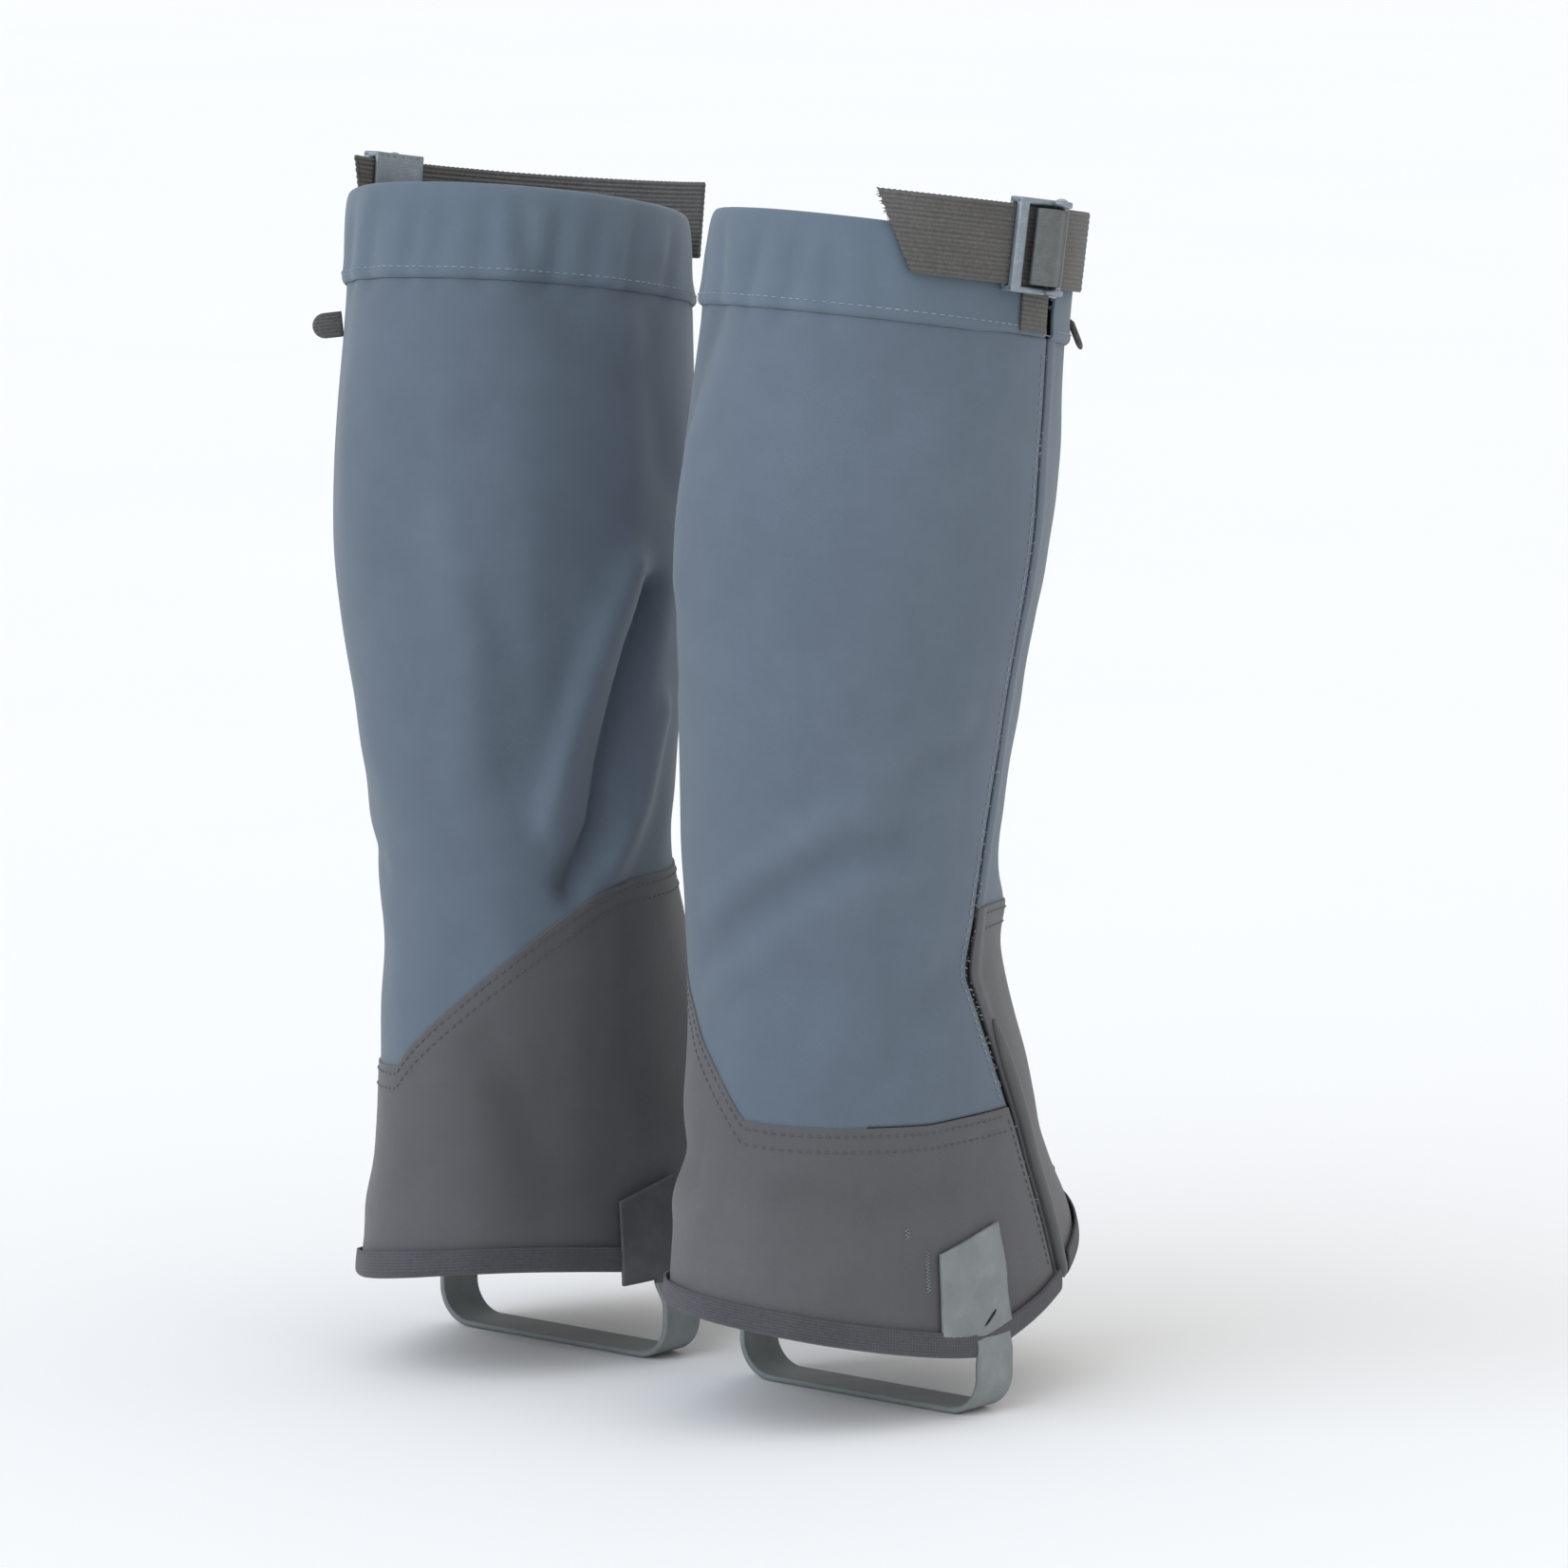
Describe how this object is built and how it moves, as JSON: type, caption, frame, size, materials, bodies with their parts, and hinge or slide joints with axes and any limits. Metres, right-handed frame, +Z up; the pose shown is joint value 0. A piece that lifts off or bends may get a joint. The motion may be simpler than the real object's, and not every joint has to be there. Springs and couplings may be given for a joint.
{
  "type": "gaiters",
  "caption": "Knee-high cloth gaiters with a strapped cuff, a side closure under a flap, a dark lower guard and a strap under the boot.",
  "frame": {"origin": "middle of the right instep strap's upper face, where the right boot's arch bears on it", "axes": "+Z up the legs, -Y the way the wearer faces, -X to the wearer's right"},
  "size_m": [0.348, 0.2079, 0.4753],
  "materials": {
    "upper_cloth": "matt blue-grey nylon plain weave",
    "cuff_cloth": "matt blue-grey nylon plain weave",
    "lining_cloth": "dark grey nylon",
    "elastic": "dark knitted elastic",
    "guard_cloth": "heavy dark grey nylon",
    "binding": "dark grey bound tape",
    "loop_tape": "dark looped pile",
    "hook_tape": "dark hooked tape",
    "patch_rubber": "light grey coated rubber sheet",
    "webbing": "grey ribbed webbing",
    "buckle_metal": "satin pale metal",
    "pin_steel": "satin",
    "lever_metal": "satin grey metal",
    "hook_steel": "satin"
  },
  "bodies": {
    "right_gaiter": {"right_upper_shell": "upper_cloth", "right_lower_guard": "guard_cloth", "right_hem_binding": "binding", "right_cuff_outer": "cuff_cloth", "right_cuff_elastic": "elastic", "right_cuff_lining": "lining_cloth", "right_placket": "lining_cloth", "right_loop_tape": "loop_tape", "right_front_roll": "guard_cloth", "right_outer_patch": "patch_rubber", "right_inner_patch": "patch_rubber", "right_buckle_frame": "buckle_metal", "right_cam_pin": "pin_steel", "right_buckle_loop": "webbing", "right_lace_hook": "hook_steel", "right_lace_hook_tab": "webbing", "right_pull_tab": "webbing"},
    "right_upper_flap": {"right_upper_flap": "upper_cloth", "right_upper_hook_tape": "hook_tape"},
    "right_lower_flap": {"right_lower_flap": "guard_cloth", "right_lower_hook_tape": "hook_tape"},
    "right_instep_strap": {"right_instep_strap": "patch_rubber"},
    "right_cuff_strap": {"right_cuff_strap": "webbing"},
    "right_cam_lever": {"right_cam_lever": "lever_metal"},
    "left_gaiter": {"left_upper_shell": "upper_cloth", "left_lower_guard": "guard_cloth", "left_hem_binding": "binding", "left_cuff_outer": "cuff_cloth", "left_cuff_elastic": "elastic", "left_cuff_lining": "lining_cloth", "left_placket": "lining_cloth", "left_loop_tape": "loop_tape", "left_front_roll": "guard_cloth", "left_outer_patch": "patch_rubber", "left_inner_patch": "patch_rubber", "left_buckle_frame": "buckle_metal", "left_cam_pin": "pin_steel", "left_buckle_loop": "webbing", "left_lace_hook": "hook_steel", "left_lace_hook_tab": "webbing", "left_pull_tab": "webbing"},
    "left_upper_flap": {"left_upper_flap": "upper_cloth", "left_upper_hook_tape": "hook_tape"},
    "left_lower_flap": {"left_lower_flap": "guard_cloth", "left_lower_hook_tape": "hook_tape"},
    "left_instep_strap": {"left_instep_strap": "patch_rubber"},
    "left_cuff_strap": {"left_cuff_strap": "webbing"},
    "left_cam_lever": {"left_cam_lever": "lever_metal"}
  },
  "joints": [
    {"name": "right_upper_flap_fold", "type": "hinge", "parent": "right_gaiter", "child": "right_upper_flap", "pos_m": [-0.05443, 0.04867, 0.13], "axis": [0.0993, 0.0675, -0.9928], "range_deg": [0, 65]},
    {"name": "right_lower_flap_fold", "type": "hinge", "parent": "right_gaiter", "child": "right_lower_flap", "pos_m": [-0.05744, -0.02024, 0.042], "axis": [0.001, -0.4426, -0.8967], "range_deg": [0, 60]},
    {"name": "right_instep_strap_swing", "type": "hinge", "parent": "right_gaiter", "child": "right_instep_strap", "pos_m": [0, 0, 0.02], "axis": [1, 0, 0], "range_deg": [-35, 35]},
    {"name": "right_cuff_strap_slide", "type": "hinge", "parent": "right_gaiter", "child": "right_cuff_strap", "pos_m": [-0.00906, 0.00646, 0.45056], "axis": [0.0263, 0.1428, -0.9894], "range_deg": [-12, 14]},
    {"name": "right_cam_lever_turn", "type": "hinge", "parent": "right_gaiter", "child": "right_cam_lever", "pos_m": [-0.08944, 0.00286, 0.44791], "axis": [-0.0263, -0.1428, 0.9894], "range_deg": [0, 95]},
    {"name": "left_upper_flap_fold", "type": "hinge", "parent": "left_gaiter", "child": "left_upper_flap", "pos_m": [0.21243, 0.04867, 0.13], "axis": [0.0993, -0.0675, 0.9928], "range_deg": [0, 65]},
    {"name": "left_lower_flap_fold", "type": "hinge", "parent": "left_gaiter", "child": "left_lower_flap", "pos_m": [0.21544, -0.02024, 0.042], "axis": [0.001, 0.4426, 0.8967], "range_deg": [0, 60]},
    {"name": "left_instep_strap_swing", "type": "hinge", "parent": "left_gaiter", "child": "left_instep_strap", "pos_m": [0.158, 0, 0.02], "axis": [1, 0, 0], "range_deg": [-35, 35]},
    {"name": "left_cuff_strap_slide", "type": "hinge", "parent": "left_gaiter", "child": "left_cuff_strap", "pos_m": [0.16706, 0.00646, 0.45056], "axis": [0.0263, -0.1428, 0.9894], "range_deg": [-12, 25]},
    {"name": "left_cam_lever_turn", "type": "hinge", "parent": "left_gaiter", "child": "left_cam_lever", "pos_m": [0.24744, 0.00286, 0.44791], "axis": [-0.0263, 0.1428, -0.9894], "range_deg": [0, 95]},
    {"name": "left_gaiter_stride", "type": "slide", "parent": "right_gaiter", "child": "left_gaiter", "axis": [0, -1, 0], "range_m": [-0.25, 0.3]}
  ]
}
